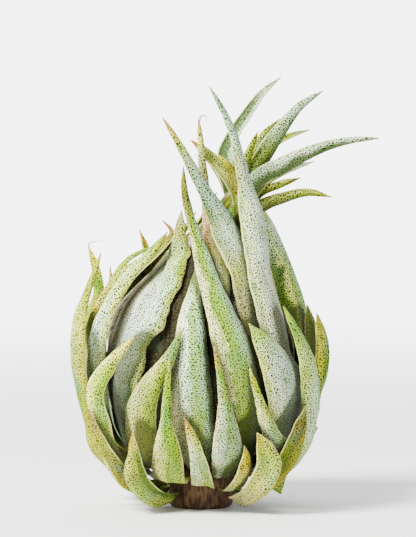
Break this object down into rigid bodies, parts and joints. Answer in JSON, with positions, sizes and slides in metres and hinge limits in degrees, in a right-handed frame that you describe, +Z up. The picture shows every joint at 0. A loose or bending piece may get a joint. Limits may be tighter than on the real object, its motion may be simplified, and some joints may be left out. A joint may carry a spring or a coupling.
{
  "type": "air plant",
  "caption": "Bulb-shaped air plant of overlapping silver-scaled leaves on a short woody stem, with slim blades fanning out at the neck.",
  "frame": {"origin": "middle of the flat underside of the stem, on which the plant stands", "axes": "+Z up along the plant, the pictured front faces -Y, the long blade of the fan points to +X"},
  "size_m": [0.0719, 0.0602, 0.1013],
  "materials": {
    "leaf_silver": "matte, silver-grey scales with dark dots over pale green",
    "leaf_green": "matte, yellow-green with silver scales and dark dots",
    "heart": "matte, grey-green scales, brown in the shade between the leaves",
    "stem": "rough dark brown bark"
  },
  "bodies": {
    "root": {"stem": "stem", "heart": "heart", "back_inner_leaf_1": "leaf_silver", "back_inner_leaf_2": "leaf_silver", "back_inner_leaf_3": "leaf_silver", "back_inner_leaf_4": "leaf_silver", "back_inner_leaf_5": "leaf_silver", "back_inner_leaf_6": "leaf_silver", "back_inner_leaf_7": "leaf_silver", "back_inner_leaf_8": "leaf_silver", "back_middle_leaf_1": "leaf_silver", "back_middle_leaf_2": "leaf_silver", "back_middle_leaf_3": "leaf_silver", "back_middle_leaf_4": "leaf_silver", "back_middle_leaf_5": "leaf_silver", "back_middle_leaf_6": "leaf_silver", "back_middle_leaf_7": "leaf_silver", "inner_leaf_centre": "leaf_silver", "inner_leaf_neck": "leaf_green", "frayed_tip_leaf": "leaf_silver", "speckled_leaf_left": "leaf_silver", "arched_leaf_left": "leaf_green", "dried_tip_leaf": "leaf_green", "wavy_leaf_left": "leaf_silver", "shoulder_leaf_left": "leaf_green", "tall_leaf_left": "leaf_silver", "folded_leaf_right": "leaf_silver", "tall_leaf_right": "leaf_silver", "broad_leaf_centre": "leaf_silver", "curved_leaf_left": "leaf_silver", "tall_leaf_centre": "leaf_green", "slim_leaf_right": "leaf_green", "belly_leaf_right": "leaf_silver", "outer_leaf_right": "leaf_silver", "back_outer_leaf_1": "leaf_silver", "back_outer_leaf_2": "leaf_silver", "back_outer_leaf_3": "leaf_silver", "back_outer_leaf_4": "leaf_silver", "back_outer_leaf_5": "leaf_silver", "back_outer_leaf_6": "leaf_silver", "back_outer_leaf_7": "leaf_silver", "back_outer_leaf_8": "leaf_silver", "back_base_leaf_1": "leaf_silver", "back_base_leaf_2": "leaf_silver", "back_base_leaf_3": "leaf_silver", "back_base_leaf_4": "leaf_silver", "edge_leaf_left": "leaf_green", "edge_leaf_right": "leaf_green", "belly_leaf_left": "leaf_silver", "outer_leaf_left": "leaf_green", "low_leaf_right": "leaf_silver", "low_leaf_centre": "leaf_silver", "low_leaf_left": "leaf_green", "base_edge_leaf_left": "leaf_green", "base_leaf_left": "leaf_green", "base_leaf_centre": "leaf_silver", "base_edge_leaf_right": "leaf_green", "base_leaf_right": "leaf_silver", "base_leaf_front": "leaf_silver"}
  },
  "joints": []
}
